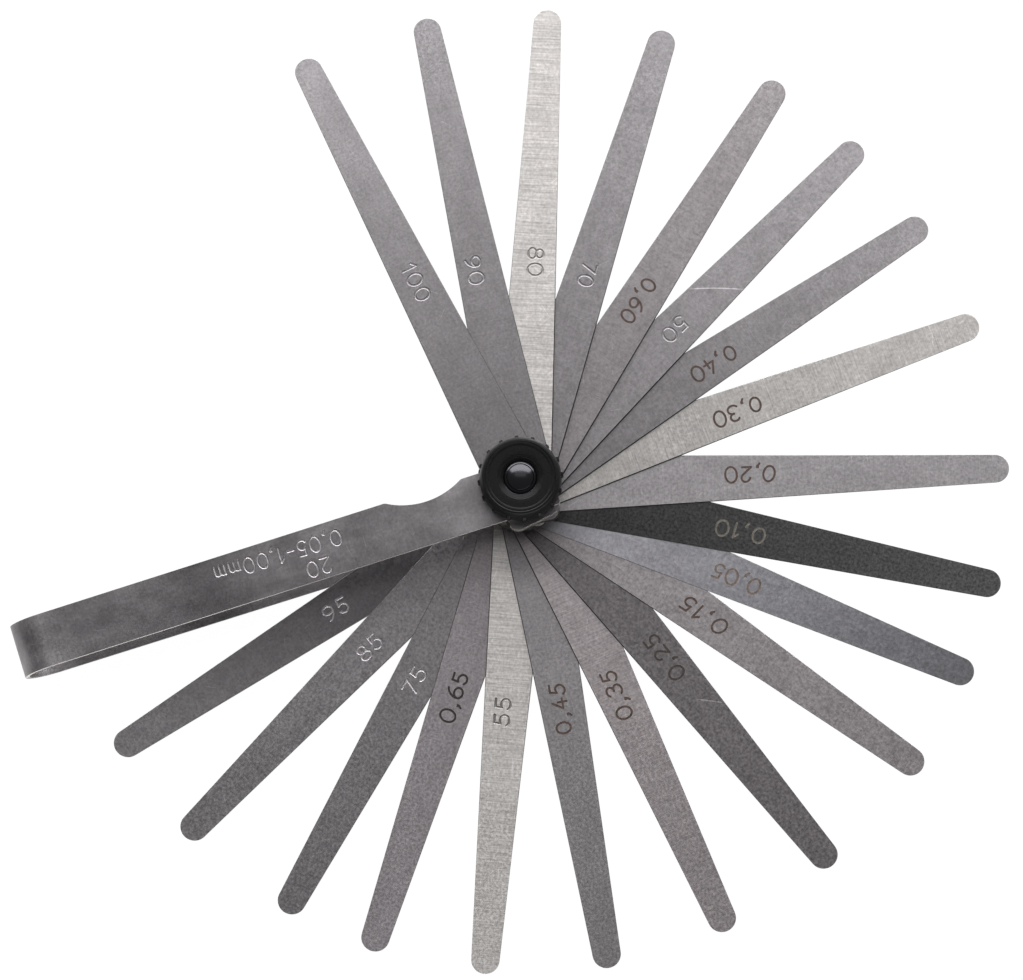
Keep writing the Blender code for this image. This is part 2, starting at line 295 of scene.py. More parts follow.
# Each glyph's strokes in a box one unit tall, with its baseline at 0, and after them the glyph's width.
GLYPHS = {
    "0": ([arc((0.36, 0.5), (0.34, 0.49), 90, 450, 28)], 0.72),
    "1": ([[(0.05, 0.72), (0.3, 0.98)], [(0.3, 0.98), (0.3, 0.02)]], 0.4),
    "2": (
        [
            arc((0.32, 0.7), (0.27, 0.28), 175, -40, 14) + [(0.3, 0.27), (0.06, 0.02)],
            [(0.06, 0.02), (0.62, 0.02)],
        ],
        0.64,
    ),
    "3": (
        [
            arc((0.28, 0.74), (0.26, 0.24), 150, -90, 14),
            arc((0.28, 0.26), (0.3, 0.26), 90, -150, 14),
        ],
        0.6,
    ),
    "4": ([[(0.4, 0.98), (0.02, 0.3)], [(0.02, 0.3), (0.62, 0.3)], [(0.42, 0.6), (0.42, 0.02)]], 0.62),
    "5": (
        [
            [(0.56, 0.97), (0.14, 0.97)],
            [(0.14, 0.97), (0.1, 0.55)],
            arc((0.28, 0.31), (0.29, 0.3), 128, -150, 16),
        ],
        0.6,
    ),
    "6": (
        [
            arc((0.33, 0.28), (0.29, 0.27), 0, 360, 20),
            arc((0.62, 0.32), (0.58, 0.66), 178, 104, 10),
        ],
        0.64,
    ),
    "7": ([[(0.04, 0.96), (0.58, 0.96)], [(0.58, 0.96), (0.2, 0.02)]], 0.6),
    "8": (
        [
            arc((0.32, 0.74), (0.24, 0.24), 0, 360, 20),
            arc((0.32, 0.26), (0.3, 0.26), 0, 360, 20),
        ],
        0.64,
    ),
    "9": (
        [
            arc((0.31, 0.72), (0.29, 0.27), 0, 360, 20),
            arc((0.02, 0.68), (0.58, 0.66), -2, -76, 10),
        ],
        0.64,
    ),
    ",": (
        [
            [(0.1, 0.1), (0.2, 0.11), (0.2, 0.02), (0.11, 0.03), (0.1, 0.1)],
            [(0.19, 0.04), (0.06, -0.15)],
        ],
        0.26,
    ),
    "-": ([[(0.04, 0.46), (0.46, 0.46)]], 0.5),
    "m": (
        [
            [(0.04, 0.62), (0.04, 0.02)],
            [(0.04, 0.4)] + arc((0.21, 0.44), (0.17, 0.18), 180, 0, 8) + [(0.38, 0.02)],
            [(0.38, 0.4)] + arc((0.55, 0.44), (0.17, 0.18), 180, 0, 8) + [(0.72, 0.02)],
        ],
        0.76,
    ),
}


# The gap between two letters, as a share of their height.
LETTER_GAP = 0.24


def text_strokes(text, height, slant, unsteady, chance):
    """A line of text as strokes, starting at the origin and running along +X, and its whole length."""
    strokes = []
    x = 0.0
    for letter in text:
        lines, width = GLYPHS[letter]
        lean = slant
        lift = 0.0
        grow = 1.0
        if unsteady:
            lean += chance.uniform(-unsteady, unsteady)
            lift = chance.uniform(-unsteady, unsteady) * 0.4
            grow = 1 + chance.uniform(-unsteady, unsteady) * 0.6
        for line in lines:
            stroke = []
            for px, py in line:
                along = px * grow + lean * (py - 0.5)
                stroke.append((x + along * height, (py * grow + lift) * height))
            strokes.append(stroke)
        x += (width + LETTER_GAP) * height
    return strokes, x - LETTER_GAP * height


def fitted(text, span, height, half_width, slant=0.0, unsteady=0.0, chance=None):
    """A line of text as strokes, squeezed so that its grooves are as long as the span from end to end."""
    strokes, length = text_strokes(text, height, slant, unsteady, chance)
    squeeze = (span - 2 * half_width) / length
    return [[(x * squeeze + half_width, y) for x, y in line] for line in strokes]


def resample(points, spacing):
    """The same line with points no further apart than the spacing."""
    dense = [points[0]]
    for (ax, ay), (bx, by) in zip(points, points[1:]):
        steps = max(1, math.ceil(math.hypot(bx - ax, by - ay) / spacing))
        dense += [(ax + (bx - ax) * i / steps, ay + (by - ay) * i / steps) for i in range(1, steps + 1)]
    return dense


# How far a groove's cutter stands above the surface, how far apart its sections are along a stroke, and the
# angles of the sections in a stroke's round ends.
GROOVE_CLEAR = 0.04 * MM
GROOVE_SPACING = 0.35 * MM
GROOVE_END_ANGLES = (30, 55, 75)


def groove_section(half_width, depth):
    """A groove cutter's section, down one side and up the other, as (offset, height) points."""
    return [
        (-half_width, GROOVE_CLEAR),
        (-half_width, 0.0),
        (-half_width * 0.72, -depth * 0.75),
        (-half_width * 0.4, -depth),
        (half_width * 0.4, -depth),
        (half_width * 0.72, -depth * 0.75),
        (half_width, 0.0),
        (half_width, GROOVE_CLEAR),
    ]


def stroke_cutter(name, strokes, half_width, depth, surface, place):
    """One object that cuts every stroke as a round-ended groove into the surface at that height.

    place turns and moves the strokes' own plane into the piece's frame.
    """
    section = groove_section(half_width, depth)
    count = len(section)
    work = bmesh.new()
    for stroke in strokes:
        closed = math.dist(stroke[0], stroke[-1]) < 0.001 * MM
        line = resample(stroke, GROOVE_SPACING)
        if closed:
            line = line[:-1]
        total = len(line)
        rings = []
        for i, (x, y) in enumerate(line):
            before = line[i - 1] if closed or i else line[i]
            after = line[(i + 1) % total] if closed or i < total - 1 else line[i]
            along = Vector((after[0] - before[0], after[1] - before[1])).normalized()
            rings.append((Vector((x, y)), along, 1))
        if not closed:
            first, last = rings[0], rings[-1]
            turns = [math.radians(a) for a in GROOVE_END_ANGLES]
            head = [(first[0] - first[1] * half_width * math.sin(t), first[1], math.cos(t)) for t in turns]
            tail = [(last[0] + last[1] * half_width * math.sin(t), last[1], math.cos(t)) for t in turns]
            rings = head[::-1] + rings + tail
        made = []
        for centre, along, size in rings:
            across = Vector((-along.y, along.x))
            ring = []
            for offset, height in section:
                spot = centre + across * offset * size
                low = height if height > 0 else height * (0.4 + 0.6 * size)
                ring.append(work.verts.new(place @ Vector((spot.x, spot.y, surface + low))))
            made.append(ring)
        spans = list(zip(made, made[1:]))
        if closed:
            spans.append((made[-1], made[0]))
        for one, other in spans:
            for k in range(count):
                work.faces.new((one[k], one[(k + 1) % count], other[(k + 1) % count], other[k]))
        if not closed:
            work.faces.new(made[0])
            work.faces.new(made[-1][::-1])
    bmesh.ops.recalc_face_normals(work, faces=work.faces)
    mesh = bpy.data.meshes.new(name)
    work.to_mesh(mesh)
    work.free()
    made = bpy.data.objects.new(name, mesh)
    SCENE.collection.objects.link(made)
    return made


# ---------------------------------------------------------------- materials


class Nodes:
    """A small helper that builds one material's node tree."""

    def __init__(self, name):
        self.material = bpy.data.materials.new(name)
        self.material.use_nodes = True
        self.tree = self.material.node_tree
        self.shader = self.tree.nodes["Principled BSDF"]

    def add(self, kind, settings=None, **inputs):
        """A node with its settings, and inputs that are values or other nodes' sockets."""
        node = self.tree.nodes.new(kind)
        for key, value in (settings or {}).items():
            setattr(node, key, value)
        for key, value in inputs.items():
            self.feed(node.inputs[int(key[1:]) if key[0] == "i" and key[1:].isdigit() else key], value)
        return node

    def feed(self, socket, value):
        """Sets a socket's value, or links another node's socket to it."""
        if isinstance(value, bpy.types.NodeSocket):
            self.tree.links.new(value, socket)
        else:
            socket.default_value = value

    def math(self, operation, first, second=0.0):
        """A Math node's result."""
        return self.add("ShaderNodeMath", {"operation": operation}, i0=first, i1=second).outputs[0]

    def place(self, scale=(1, 1, 1), shift=(0, 0, 0)):
        """Object coordinates in millimetres, scaled along each axis and then shifted."""
        here = self.add("ShaderNodeTexCoord").outputs["Object"]
        mapping = self.add("ShaderNodeMapping", Vector=here)
        mapping.inputs["Scale"].default_value = [s / MM for s in scale]
        mapping.inputs["Location"].default_value = shift
        return mapping.outputs[0]

    def noise(self, where, scale, rough):
        """A noise texture's value, with three octaves of detail."""
        node = self.add("ShaderNodeTexNoise", None, Vector=where, Scale=scale, Detail=3.0, Roughness=rough)
        return node.outputs["Fac"]

    def remap(self, value, low, high, new_low, new_high, way="LINEAR"):
        """A value stretched from one range to another and held inside it."""
        node = self.add("ShaderNodeMapRange", {"interpolation_type": way}, Value=value)
        node.inputs["From Min"].default_value = low
        node.inputs["From Max"].default_value = high
        node.inputs["To Min"].default_value = new_low
        node.inputs["To Max"].default_value = new_high
        return node.outputs[0]

    def mix(self, share, first, second):
        """A colour mix's result."""
        node = self.add("ShaderNodeMix", {"data_type": "RGBA"})
        self.feed(node.inputs[0], share)
        self.feed(node.inputs[6], first)
        self.feed(node.inputs[7], second)
        return node.outputs[2]


def scratches(n, where, cell, half_length, half_width, share):
    """Short straight scratches at random angles, in a share of a pattern's cells, as a 0 to 1 value.

    Lengths are in millimetres.
    """
    scaled = n.add("ShaderNodeVectorMath", {"operation": "SCALE"}, i0=where, Scale=1 / cell).outputs[0]
    spots = n.add("ShaderNodeTexVoronoi", {"voronoi_dimensions": "2D"}, Vector=scaled, Scale=1.0)
    away = n.add("ShaderNodeVectorMath", {"operation": "SUBTRACT"}, i0=scaled, i1=spots.outputs["Position"])
    chance = n.add("ShaderNodeSeparateColor", None, i0=spots.outputs["Color"])
    turn = n.math("MULTIPLY", chance.outputs[0], math.tau)
    turned = n.add("ShaderNodeVectorRotate", {"rotation_type": "Z_AXIS"}, Vector=away.outputs[0], Angle=turn)
    parts = n.add("ShaderNodeSeparateXYZ", None, i0=turned.outputs[0])
    along = n.math("ABSOLUTE", parts.outputs[0])
    across = n.math("ABSOLUTE", parts.outputs[1])
    thin = n.remap(across, half_width * 0.4 / cell, half_width / cell, 1, 0)
    short = n.remap(along, half_length * 0.5 / cell, half_length / cell, 1, 0)
    chosen = n.remap(chance.outputs[1], share, share + 0.02, 1, 0)
    return n.math("MULTIPLY", n.math("MULTIPLY", thin, short), chosen)


def hairline(n, x, y, angle, length):
    """One long fine scratch with a slight bend, as a 0 to 1 value; in millimetres and degrees."""
    here = n.add("ShaderNodeVectorMath", {"operation": "SUBTRACT"}, i0=n.place(), i1=(x, y, 0)).outputs[0]
    back = -math.radians(angle)
    turned = n.add("ShaderNodeVectorRotate", {"rotation_type": "Z_AXIS"}, Vector=here, Angle=back)
    parts = n.add("ShaderNodeSeparateXYZ", None, i0=turned.outputs[0])
    bend = n.math("MULTIPLY", n.math("MULTIPLY", parts.outputs[0], parts.outputs[0]), 0.008)
    across = n.math("ABSOLUTE", n.math("ADD", parts.outputs[1], bend))
    along = n.math("ABSOLUTE", parts.outputs[0])
    thin = n.remap(across, 0.05, 0.14, 1, 0)
    return n.math("MULTIPLY", thin, n.remap(along, length * 0.35, length * 0.5, 1, 0))


# The share of a steel face's cells that have a long scratch in them.
SCRATCHED = 0.25


def steel(
    name,
    colour,
    seed,
    near,
    far,
    grain=0.2,
    roughness=0.4,
    lines=0.0,
    span=(15, 90),
    blotch=0.08,
    line=None,
    pivot_shade=1.0,
    bands=(),
):
    """Satin steel: fine speckle, soft blotches, hairline scratches, and ground lines across the piece.

    Its tone runs from near to far over the span along X, in millimetres. line is one long hairline, and
    pivot_shade is how much of the tone is left close to the pivot, which is painted shade from the nut and
    the blades above. Each of the bands is a brighter or darker band of tone across the piece: its middle, how
    far its core and its fringe reach from there, and the share of the tone that it leaves.
    """
    n = Nodes(name)
    where = n.place(shift=(seed * 37.0, seed * 11.0, seed * 5.0))
    fine = n.noise(where, 1.9, 0.7)
    broad = n.noise(n.place((0.6, 1, 1), (seed * 13.0, seed * 7.0, 0)), 0.22, 0.6)
    tone = n.remap(fine, 0.2, 0.8, 1 - grain, 1 + grain)
    tone = n.math("MULTIPLY", tone, n.remap(broad, 0.3, 0.7, 1 - blotch, 1 + blotch))
    rolled = n.noise(n.place((4.5, 0.12, 1), (seed * 3.0, seed * 17.0, 0)), 1.0, 0.6)
    strength = 0.06 + lines
    tone = n.math("MULTIPLY", tone, n.remap(rolled, 0.25, 0.75, 1 - strength, 1 + strength))
    here = n.add("ShaderNodeSeparateXYZ", None, i0=n.place()).outputs[0]
    tone = n.math("MULTIPLY", tone, n.remap(here, span[0], span[1], near, far))
    # Painted shade close to the pivot, cast by the nut and the blades above.
    if pivot_shade < 1:
        tone = n.math("MULTIPLY", tone, n.remap(here, 8, 18, pivot_shade, 1))
    for middle, core, fringe, share in bands:
        off = n.math("ABSOLUTE", n.math("SUBTRACT", here, middle))
        tone = n.math("MULTIPLY", tone, n.remap(off, core, fringe, share, 1, "SMOOTHSTEP"))
    marks = scratches(n, where, 6.0, 1.5, 0.06, SCRATCHED)
    ticks = scratches(n, n.place(shift=(seed * 5.0, seed * 29.0, 0)), 2.6, 0.7, 0.06, SCRATCHED * 0.6)
    marks = n.math("MAXIMUM", marks, n.math("MULTIPLY", ticks, 0.7))
    marks = n.math("MULTIPLY", marks, 0.4)
    if line:
        marks = n.math("MAXIMUM", marks, hairline(n, *line))
    tone = n.math("MULTIPLY", tone, n.math("ADD", marks, 1.0))
    base = n.add("ShaderNodeCombineXYZ", None, i0=colour[0], i1=colour[1], i2=colour[2])
    scaled = n.add("ShaderNodeVectorMath", {"operation": "SCALE"}, i0=base.outputs[0], Scale=tone)
    n.feed(n.shader.inputs["Base Color"], scaled.outputs[0])
    n.shader.inputs["Metallic"].default_value = 1.0
    n.feed(n.shader.inputs["Roughness"], n.remap(fine, 0.3, 0.7, roughness - 0.06, roughness + 0.06))
    relief = n.math("ADD", fine, n.math("MULTIPLY", rolled, 1 + 4 * lines))
    bump = n.add("ShaderNodeBump", None, Height=relief, Strength=0.2, Distance=0.02 * MM)
    n.feed(n.shader.inputs["Normal"], bump.outputs[0])
    return n.material


def plastic(name, colour, seed):
    """Moulded black plastic with a fine dull texture."""
    n = Nodes(name)
    fine = n.noise(n.place(shift=(seed, seed, 0)), 3.0, 0.6)
    base = n.mix(n.remap(fine, 0.3, 0.7, 0, 1), (*colour, 1), (*[c * 2.4 for c in colour], 1))
    n.feed(n.shader.inputs["Base Color"], base)
    n.feed(n.shader.inputs["Roughness"], n.remap(fine, 0.3, 0.7, 0.34, 0.46))
    n.shader.inputs["Specular IOR Level"].default_value = 0.12
    bump = n.add("ShaderNodeBump", None, Height=fine, Strength=0.25, Distance=0.03 * MM)
    n.feed(n.shader.inputs["Normal"], bump.outputs[0])
    return n.material


def etch(name, colour, seed):
    """The burnt brown of an etched mark, uneven along its strokes."""
    n = Nodes(name)
    patchy = n.noise(n.place(shift=(seed, seed, 0)), 1.6, 0.6)
    dark = [c * 0.6 for c in colour]
    light = [c * 1.5 for c in colour]
    base = n.mix(n.remap(patchy, 0.3, 0.7, 0, 1), (*dark, 1), (*light, 1))
    n.feed(n.shader.inputs["Base Color"], base)
    n.shader.inputs["Roughness"].default_value = 0.6
    n.shader.inputs["Metallic"].default_value = 0.3
    return n.material


def plain(name, colour, roughness, metallic=0.0):
    """A material of one colour."""
    n = Nodes(name)
    n.shader.inputs["Base Color"].default_value = (*colour, 1)
    n.shader.inputs["Roughness"].default_value = roughness
    n.shader.inputs["Metallic"].default_value = metallic
    return n.material


# ---------------------------------------------------------------- blades

GREY = (1.0, 0.95, 0.985)
WARM = (1.0, 0.955, 0.93)
DUSK = (1.0, 0.93, 0.955)
BLUE = (0.95, 0.93, 1.0)
SMOKE = (1.0, 0.99, 1.0)
ROSE = (1.0, 0.92, 0.965)
SAND = (1.0, 0.91, 0.93)

# For each blade: its number, whether it's stamped or etched, how far from the pivot the number starts (its
# outer end) and ends, in millimetres, the blade's tint, its tone near the pivot and at the tip, and how
# strong its grinding lines are.
# Where a blade's tone near the pivot is below its tone at the tip, part of that is painted shade from the
# holder and the nut.
BLADES = {
    100: ("100", "stamped", 47.5, 39.4, GREY, 0.22, 0.33, 0.0),
    90: ("90", "stamped", 44.8, 38.9, GREY, 0.23, 0.29, 0.0),
    80: ("80", "stamped", 45.6, 39.7, WARM, 0.62, 0.5, 0.22),
    70: ("70", "stamped", 44.6, 39.6, GREY, 0.25, 0.29, 0.0),
    60: ("0,60", "etched", 46.4, 36.7, DUSK, 0.27, 0.3, 0.02),
    50: ("50", "stamped", 44.4, 38.7, GREY, 0.27, 0.33, 0.0),
    40: ("0,40", "etched", 48.0, 38.2, GREY, 0.22, 0.33, 0.04),
    30: ("0,30", "etched", 48.0, 38.2, WARM, 0.46, 0.53, 0.12),
    20: ("0,20", "etched", 48.0, 38.2, GREY, 0.36, 0.4, 0.02),
    10: ("0,10", "etched", 47.0, 37.2, SMOKE, 0.05, 0.12, 0.03),
    5: ("0,05", "etched", 49.0, 39.2, BLUE, 0.43, 0.24, 0.0),
    15: ("0,15", "etched", 47.2, 37.2, DUSK, 0.37, 0.4, 0.02),
    25: ("0,25", "etched", 47.2, 37.2, DUSK, 0.2, 0.26, 0.0),
    35: ("0,35", "etched", 48.5, 38.5, SAND, 0.45, 0.46, 0.14),
    45: ("0,45", "etched", 47.8, 38.0, GREY, 0.35, 0.4, 0.0),
    55: ("55", "stamped", 45.9, 40.2, WARM, 0.7, 0.9, 0.2),
    65: ("0,65", "etched", 47.2, 37.2, ROSE, 0.33, 0.48, 0.02),
    75: ("75", "stamped", 45.0, 39.4, GREY, 0.28, 0.3, 0.0),
    85: ("85", "stamped", 45.0, 39.4, GREY, 0.31, 0.3, 0.0),
    95: ("95", "stamped", 45.3, 39.9, GREY, 0.13, 0.32, 0.0),
}
DIGIT_HEIGHT = 2.9 * MM
STAMP_HALF_WIDTH = 0.24 * MM
STAMP_DEPTH = 0.13 * MM
ETCH_HALF_WIDTH = 0.21 * MM
ETCH_DEPTH = 0.015 * MM
# How far etched digits lean, and how unsteady they are.
ETCH_SLANT = 0.04
ETCH_UNSTEADY = 0.1
# The etched marks' colour, and other colours for some blades.
ETCH = (0.06, 0.038, 0.03)
ETCHES = {
    65: (0.02, 0.015, 0.013),
    10: (0.1, 0.09, 0.075),
    5: (0.12, 0.09, 0.075),
    25: (0.035, 0.026, 0.022),
}
# How strong the speckle is, and the blades where it is stronger.
GRAIN = 0.28
GRAINS = {85: 0.42, 75: 0.38, 65: 0.32, 45: 0.3, 25: 0.45, 15: 0.3, 10: 0.6}
# How much of the tone is left by the pivot on the blades of odd twentieths, which lie below the others:
# painted shade from the nut and the blades above them.
PIVOT_SHADE = 0.55
# The tone inside stamped numbers, and the blades where it is brighter.
STAMPED_TONE = 0.32
STAMPED_TONES = {95: 0.5, 85: 0.5, 75: 0.5}
# How far a number sits toward the blade's +Y side, in millimetres, where it isn't on the middle line.
NUMBER_SHIFTS = {
    90: 0.9,
    80: -0.3,
    60: 0.2,
    50: 0.2,
    40: -0.5,
    30: -0.4,
    20: 0.6,
    25: 0.4,
    35: -0.5,
    45: -0.6,
    55: -0.7,
}
# Long hairlines across a blade: each one's middle, its angle and its length, in millimetres and degrees.
HAIRLINES = {50: (52.8, 0.1, -46, 10.4), 25: (53.8, 1.75, 43, 5.4)}


def blade_outline():
    """The blade's edge, counter-clockwise: a square-cut tail, straight tapered sides and a full round tip."""
    slope = math.atan(BLADE_TAPER)
    width_at_reach = BLADE_HALF_WIDTH - BLADE_TAPER * BLADE_REACH
    tip_radius = width_at_reach * math.cos(slope) / (1 - math.sin(slope))
    open_angle = 90 - math.degrees(slope)
    tip = arc((BLADE_REACH - tip_radius, 0), tip_radius, -open_angle, open_angle, 40)
    corners = [
        (0, BLADE_HALF_WIDTH),
        (-BLADE_TAIL, BLADE_TAIL_HALF_WIDTH),
        (-BLADE_TAIL, -BLADE_TAIL_HALF_WIDTH),
        (0, -BLADE_HALF_WIDTH),
    ]
    return tip + rounded_corners(corners, [0, BLADE_TAIL_RADIUS, BLADE_TAIL_RADIUS, 0], 10)


def spread_burr(blade, thickness):
    """Spreads a blade's lower edge out and draws its upper edge in up to where the blades lie free, widening
    its painted-shade dark edge.
    """
    burr = min(BLADE_BURR, 0.5 * thickness)
    for vertex in blade.data.vertices:
        x, y, z = vertex.co
        if math.hypot(x, y) < BLADE_BORE_RADIUS + BURR_BORE:
            continue
        covered = max(0.0, min(1.0, (BURR_END - x) / BURR_FADE))
        out = BLADE_SWELL + covered * ((burr if z < 0 else -burr / 3) - BLADE_SWELL)
        vertex.co.y = y * (1 + out / BURR_HALF_WIDTH)
        if x > BLADE_REACH - BURR_TIP:
            vertex.co.x = x + out
        elif x < 0:
            vertex.co.x = x - out * min(1.0, -x / BURR_TAIL)


def make_blade(hundredths, side, tail):
    """One blade with its number, riding on its own body.

    side is the near-black material of its shear-cut edges, which is painted shade for the gaps where blades
    overlap, and tail that of the topmost blade's edge behind the pivot.
    """
    text, way, outer, inner, tint, near, far, lines = BLADES[hundredths]
    node = f"blade_{hundredths:03d}"
    low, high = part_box(node)
    thickness = high.z - low.z
    blade = plate(f"{node}_leaf", [blade_outline(), circle(BLADE_BORE_RADIUS, 64)], thickness)
    bevel(blade, min(BLADE_EDGE, 0.3 * thickness), 2)
    spread_burr(blade, thickness)
    chance = random.Random(hundredths)
    span = (outer - inner) * MM
    if way == "stamped":
        half_width, depth = STAMP_HALF_WIDTH, STAMP_DEPTH
        strokes = fitted(text, span, DIGIT_HEIGHT, half_width)
    else:
        half_width, depth = ETCH_HALF_WIDTH, min(ETCH_DEPTH, 0.3 * thickness)
        strokes = fitted(text, span, DIGIT_HEIGHT, half_width, ETCH_SLANT, ETCH_UNSTEADY, chance)
    number_y = DIGIT_HEIGHT / 2 + NUMBER_SHIFTS.get(hundredths, 0) * MM
    place = Matrix.Translation((outer * MM, number_y, 0)) @ Matrix.Rotation(math.pi, 4, "Z")
    cutter = stroke_cutter("number", strokes, half_width, depth, thickness / 2, place)
    skin = steel(
        f"{node}_steel",
        tint,
        hundredths,
        near,
        far,
        GRAINS.get(hundredths, GRAIN),
        lines=lines,
        line=HAIRLINES.get(hundredths),
        pivot_shade=PIVOT_SHADE if hundredths % 10 == 5 else 1.0,
    )
    if way == "stamped":
        tone = STAMPED_TONES.get(hundredths, STAMPED_TONE)
        mark = steel(f"{node}_stamp", tint, hundredths, tone, tone)
    else:
        mark = etch(f"{node}_etch", ETCHES.get(hundredths, ETCH), hundredths)
    for material in (skin, side, tail):
        blade.data.materials.append(material)
    for face in blade.data.polygons:
        if abs(face.normal.z) < 0.75:
            face.material_index = 2 if face.center.x < -4 * MM and hundredths == 100 else 1
    cutter.data.materials.append(mark)
    cut(blade, cutter, itself=True)
    joint = next(j for j in frame["joints"] if j["child"] == node)
    middle = (low.z + high.z) / 2
    spot = Matrix.Translation((joint["pos_m"][0], joint["pos_m"][1], middle))
    blade.matrix_world = spot @ Matrix.Rotation(math.radians(180 - joint["range_deg"][0]), 4, "Z")
    return finish(blade, node, skin)


# ---------------------------------------------------------------- holder

RANGE_HEIGHT = 3.0 * MM
RANGE_HALF_WIDTH = 0.22 * MM
RANGE_DEPTH = 0.14 * MM
# Each stamped line: its text, where it starts, its length in millimetres, and its turn in degrees.
RANGE_LINES = (
    ("0,05-1,00mm", (-35.15, 0.38), 25.1, 0.3),
    ("20", (-38.5, -4.0), 5.0, 0.9),
)
# Bands of tone across the holder: a brighter one at the fold, a darker one midway and a brighter one by the
# nut.
HOLDER_BANDS = ((-96.5, 0, 9, 1.55), (-63, 1, 14, 0.66), (-11, 1, 7, 1.35))


def make_holder():
    """The folded strip, with its thumb scallop, holes and stamped range."""
    low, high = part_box("holder")
    outer_radius = (high.z - low.z) / 2
    inner_radius = outer_radius - PLATE
    centre = (low.x + outer_radius, low.z + outer_radius)
    profile = [
        (high.x, low.z),
        (high.x, low.z + PLATE),
        *arc(centre, inner_radius, 270, 90, 48),
        (high.x, high.z - PLATE),
        (high.x, high.z),
        *arc(centre, outer_radius, 90, 270, 48),
    ]
    holder = plate("holder_strip", [profile], high.y - low.y)
    upright = Matrix.Translation((0, (low.y + high.y) / 2, 0)) @ Matrix.Rotation(math.pi / 2, 4, "X")
    holder.data.transform(upright)
    middle = (low.z + high.z) / 2
    tall = 2 * (high.z - low.z)
    for outline, depth, height in (
        (scallop_outline(high.y), tall, middle),
        (corner_outline(high.x, low.y, -1), tall, middle),
        (corner_outline(high.x, high.y, 1), tall, middle),
        (circle(BOLT_HOLE_RADIUS, 64), 3 * PLATE, high.z - PLATE / 2),
        (rounded_corners(square(SQUARE_HOLE_SIDE), [0.1 * MM] * 4, 3), 3 * PLATE, low.z + PLATE / 2),
    ):
        tool = plate("tool", [outline], depth)
        tool.data.transform(Matrix.Translation((0, 0, height)))
        cut(holder, tool)
    bevel(holder, HOLDER_EDGE, 3, 50)
    for vertex in holder.data.vertices:
        if vertex.co.z < middle and vertex.co.y < -5 * MM:
            vertex.co.y -= HOLDER_SKEW * (vertex.co.x - low.x)
    strokes = []
    for text, start, span, turn in RANGE_LINES:
        turned = Matrix.Rotation(math.radians(180 - turn), 4, "Z")
        place = Matrix.Translation((start[0] * MM, start[1] * MM, 0)) @ turned
        for stroke in fitted(text, span * MM, RANGE_HEIGHT, RANGE_HALF_WIDTH):
            spots = [place @ Vector((x, y - RANGE_HEIGHT / 2, 0)) for x, y in stroke]
            strokes.append([(spot.x, spot.y) for spot in spots])
    cutter = stroke_cutter("range", strokes, RANGE_HALF_WIDTH, RANGE_DEPTH, high.z, Matrix.Identity(4))
    skin = steel(
        "holder_steel",
        GREY,
        3,
        near=0.18,
        far=0.2,
        roughness=0.48,
        span=(-99, -15),
        blotch=0.24,
        bands=HOLDER_BANDS,
    )
    # The upper plate's -Y facing edge gets a paler material: a painted highlight where that edge catches the
    # light.
    edge = plain("holder_edge_painted_highlight", (0.62, 0.58, 0.55), 0.4, 0.35)
    stamp = steel("holder_stamp_steel", GREY, 6, 0.45, 0.45)
    # The cuts above left empty material slots.
    holder.data.materials.clear()
    holder.data.materials.append(skin)
    holder.data.materials.append(edge)
    for face in holder.data.polygons:
        face.material_index = 1 if face.normal.y < -0.3 and face.center.z > middle else 0
    cutter.data.materials.append(stamp)
    cut(holder, cutter, itself=True)
    return finish(smooth(holder), "holder", skin)


def square(side):
    """The corners of a square about the origin, counter-clockwise."""
    half = side / 2
    return [(-half, -half), (half, -half), (half, half), (-half, half)]


def scallop_outline(edge_y):
    """The thumb cut in the holder's +Y edge: a shallow circle whose two lips are rounded over."""
    half = SCALLOP_CHORD / 2
    radius = (half**2 + SCALLOP_DEPTH**2) / (2 * SCALLOP_DEPTH)
    centre_y = edge_y - SCALLOP_DEPTH + radius
    lip_y = edge_y - SCALLOP_LIP_RADIUS
    lip_x = math.sqrt((radius + SCALLOP_LIP_RADIUS) ** 2 - (centre_y - lip_y) ** 2)
    lip_angle = math.degrees(math.atan2(centre_y - lip_y, lip_x))
    clear_y = edge_y + SCALLOP_DEPTH
    left_lip = arc((SCALLOP_X - lip_x, lip_y), SCALLOP_LIP_RADIUS, 90, lip_angle, 8)
    bowl = arc((SCALLOP_X, centre_y), radius, 180 + lip_angle, 360 - lip_angle, 48)
    right_lip = arc((SCALLOP_X + lip_x, lip_y), SCALLOP_LIP_RADIUS, 180 - lip_angle, 90, 8)
    return left_lip + bowl[1:-1] + right_lip + [(SCALLOP_X + lip_x, clear_y), (SCALLOP_X - lip_x, clear_y)]


def corner_outline(mouth_x, edge_y, side):
    """What comes off one corner at the holder's mouth to round it."""
    inner = (mouth_x - HOLDER_CORNER_RADIUS, edge_y - side * HOLDER_CORNER_RADIUS)
    spare = 2 * HOLDER_CORNER_RADIUS
    return arc(inner, HOLDER_CORNER_RADIUS, 0, side * 90, 8) + [
        (inner[0], edge_y + side * spare),
        (mouth_x + spare, edge_y + side * spare),
        (mouth_x + spare, inner[1]),
    ]


# ---------------------------------------------------------------- bolt, washer and nut


def thread(low, high):
    """A change of radius that turns a smooth cylinder between two heights into a screw thread."""

    def shape(radius, height, angle):
        if not low < height < high:
            return radius
        phase = (height / THREAD_PITCH - angle / 360) % 1.0
        fade = min(1.0, (height - low) / (0.5 * THREAD_PITCH), (high - height) / (0.5 * THREAD_PITCH))
        return radius - THREAD_DEPTH * fade * abs(2 * phase - 1)

    return shape


def heights(low, high):
    """A thread's evenly spaced heights from low to high."""
    count = math.ceil((high - low) / THREAD_STEP)
    return [low + (high - low) * i / count for i in range(count + 1)]


